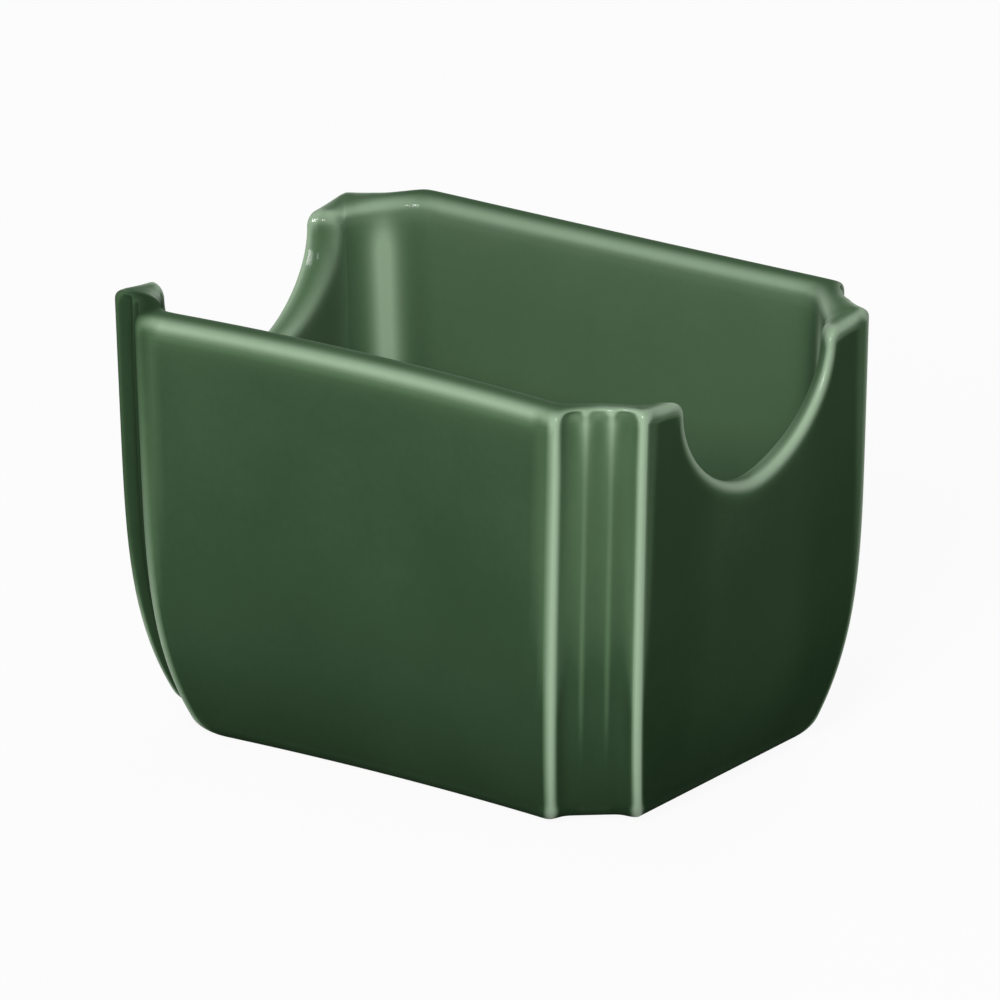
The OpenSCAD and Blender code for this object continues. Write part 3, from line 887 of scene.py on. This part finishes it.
class HOLDER_OT_glaze(bpy.types.Operator):
    """Make the green glaze over the walls, the rim, the cavity and the foot's hollow"""

    bl_idname = "holder.glaze"
    bl_label = "Glaze"

    def execute(self, context):
        sizes, look = context.scene.holder_sizes, context.scene.glaze_look
        walls = Walls(sizes)
        face, core = all_round(walls.glazed(0.0)), all_round(walls.glazed(sizes.glaze))
        ceiling = sizes.foot_hollow
        patch = all_round(np.stack([walls.hollow(ceiling), walls.hollow(ceiling + sizes.glaze)]))
        piece = skin_mesh("green_glaze", [np.concatenate([core[::-1], face]), patch])
        # Painted shade at the front left corner, on the edges and on the walls
        painted_shade = walls.painted_shade_corner(face)
        edges = walls.edges(face) * (1 - PAINTED_SHADE_EDGES * painted_shade)
        thin = 1 - (1 - edges) * (1 - walls.thin_and_painted_places(face) * (1 - PAINTED_SHADE_WALLS * painted_shade))
        spread = np.full(len(piece.data.vertices), HOLLOW_THINNING, dtype=np.float32)
        first, last = core.shape[0] * core.shape[1], (core.shape[0] + face.shape[0]) * core.shape[1]
        spread[first:last] = thin.ravel()
        # The middle point of the cavity's floor comes second after the rings
        spread[last + 1] = thin[-1].mean()
        # The glaze's thinness, with painted shade and painted highlights in it
        attribute = piece.data.attributes.new("thinning", "FLOAT", "POINT")
        attribute.data.foreach_set("value", spread)
        piece.data.materials.append(glaze_material(look))
        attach(piece, BODY)
        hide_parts("glaze_coat")
        return {"FINISHED"}


class HOLDER_OT_china(bpy.types.Operator):
    """Make the cast china under the glaze, with the bare ring that the holder stands on"""

    bl_idname = "holder.china"
    bl_label = "China"

    def execute(self, context):
        sizes, look = context.scene.holder_sizes, context.scene.china_look
        walls = Walls(sizes)
        rings = np.concatenate([walls.bare(), walls.glazed(sizes.glaze)])
        piece = skin_mesh("china_body_cast", [all_round(rings)])
        piece.data.materials.append(china_material(look))
        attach(piece, BODY)
        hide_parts("china_body")
        return {"FINISHED"}


WHITE = (1, 1, 1, 1)
# Half the floor's side, how far it lies under the foot, and how much of it shows as plain white
FLOOR_SIDE, FLOOR_DROP, FLOOR_WHITE = 6.0, 0.03 * MM, 0.93
# Strength of the world's light on the object
WORLD_SHADE = 0.09
# Place and side of each lamp, and whether it shows in reflections
LAMPS = {
    "key": ((0.42, -1.12, 0.72), 0.4, True),
    "top": ((-0.1, -0.2, 1.25), 0.7, False),
    "back": ((-0.45, 1.30, 0.45), 0.5, False),
    "spark": ((0.84, -0.94, 0.65), 0.14, True),
}
LAMP_TARGET = (0.0, 0.0, 0.03)
# The camera's distance, its roll, its focal length in sensor widths, and the point that it looks at
CAMERA_AWAY = 1.8816
CAMERA_ROLL = math.radians(-0.41)
CAMERA_LENS = 12.511
TARGET_HEIGHT = 33.97 * MM
TARGET_RIGHT = 1.137 * MM
TARGET_UP = 2.206 * MM


class HOLDER_OT_studio(bpy.types.Operator):
    """Make the floor, the lamps and the camera"""

    bl_idname = "holder.studio"
    bl_label = "Studio"

    def execute(self, context):
        look = context.scene.studio_look
        self.floor(look)
        self.world(context)
        self.lamps(look)
        self.camera(context, look)
        context.scene.view_settings.view_transform = "Standard"
        return {"FINISHED"}

    def floor(self, look):
        signs = ((-1, -1), (1, -1), (1, 1), (-1, 1))
        corners = [(x * FLOOR_SIDE, y * FLOOR_SIDE, -FLOOR_DROP) for x, y in signs]
        mesh = bpy.data.meshes.new("studio_floor")
        mesh.from_pydata(corners, [], [(0, 1, 2, 3)])
        plane = link(bpy.data.objects.new("studio_floor", mesh))
        material = bpy.data.materials.new("studio_floor")
        nodes = Nodes(material)
        matte = nodes.add("ShaderNodeBsdfDiffuse", inputs={"Color": rgba(look.floor)})
        white = nodes.add("ShaderNodeEmission", inputs={"Color": WHITE, "Strength": 1.0})
        mixed = nodes.blend(bright_rays(nodes) * FLOOR_WHITE, matte, white)
        # Seen from below, the floor is clear, so that the foot can be looked at
        below = nodes.value("ShaderNodeNewGeometry", "Backfacing")
        clear = nodes.add("ShaderNodeBsdfTransparent")
        nodes.output(nodes.blend(below, mixed, clear))
        mesh.materials.append(material)

    def world(self, context):
        world = bpy.data.worlds.new("studio")
        context.scene.world = world
        nodes = Nodes(world)
        shade = nodes.add("ShaderNodeBackground", inputs={"Color": WHITE, "Strength": WORLD_SHADE})
        white = nodes.add("ShaderNodeBackground", inputs={"Color": WHITE, "Strength": 1.0})
        nodes.output(nodes.blend(bright_rays(nodes), shade, white), "ShaderNodeOutputWorld")

    def lamps(self, look):
        for name, (at, side, shows) in LAMPS.items():
            data = bpy.data.lights.new("studio_" + name, "AREA")
            data.shape, data.size, data.energy = "SQUARE", side, getattr(look, name)
            lamp = link(bpy.data.objects.new("studio_" + name, data))
            lamp.location = at
            lamp.rotation_mode = "QUATERNION"
            lamp.rotation_quaternion = (Vector(at) - Vector(LAMP_TARGET)).to_track_quat("Z", "Y")
            lamp.visible_glossy = shows

    def camera(self, context, look):
        """The photograph's view: nearly square on from far away."""
        a, e, roll = look.azimuth, look.elevation, CAMERA_ROLL
        back = Vector((math.sin(a) * math.cos(e), -math.cos(a) * math.cos(e), math.sin(e)))
        right = Vector((math.cos(a), math.sin(a), 0.0))
        up = back.cross(right)
        turned_right = math.cos(roll) * right + math.sin(roll) * up
        turned_up = -math.sin(roll) * right + math.cos(roll) * up
        target = Vector((0, 0, TARGET_HEIGHT)) + TARGET_RIGHT * turned_right + TARGET_UP * turned_up
        data = bpy.data.cameras.new("studio_camera")
        data.sensor_width = 36.0
        data.lens = CAMERA_LENS * data.sensor_width
        data.clip_end = 30.0
        camera = link(bpy.data.objects.new("studio_camera", data))
        turn = Matrix((turned_right, turned_up, back)).transposed()
        camera.matrix_world = Matrix.Translation(target + back * CAMERA_AWAY) @ turn.to_4x4()
        context.scene.camera = camera


class HOLDER_PT_panel(bpy.types.Panel):
    """The holder's pieces and sizes"""

    bl_idname = "HOLDER_PT_panel"
    bl_label = "Sugar Packet Holder"
    bl_space_type = "VIEW_3D"
    bl_region_type = "UI"
    bl_category = "Holder"

    def draw(self, context):
        layout = self.layout
        for operator in OPERATORS:
            layout.operator(operator.bl_idname)
        for name in GROUPS:
            group = getattr(context.scene, name)
            box = layout.box()
            for field in type(group).__annotations__:
                box.prop(group, field)


GROUPS = {
    "holder_sizes": HolderSizes,
    "glaze_look": GlazeLook,
    "china_look": ChinaLook,
    "studio_look": StudioLook,
}
OPERATORS = (HOLDER_OT_china, HOLDER_OT_glaze, HOLDER_OT_studio)
CLASSES = tuple(GROUPS.values()) + OPERATORS + (HOLDER_PT_panel,)


def register():
    for kind in CLASSES:
        bpy.utils.register_class(kind)
    for name, group in GROUPS.items():
        setattr(bpy.types.Scene, name, bpy.props.PointerProperty(type=group))


def unregister():
    for name in GROUPS:
        delattr(bpy.types.Scene, name)
    for kind in reversed(CLASSES):
        bpy.utils.unregister_class(kind)


def main():
    register()
    bpy.ops.holder.china()
    bpy.ops.holder.glaze()
    bpy.ops.holder.studio()


if __name__ == "__main__":
    main()
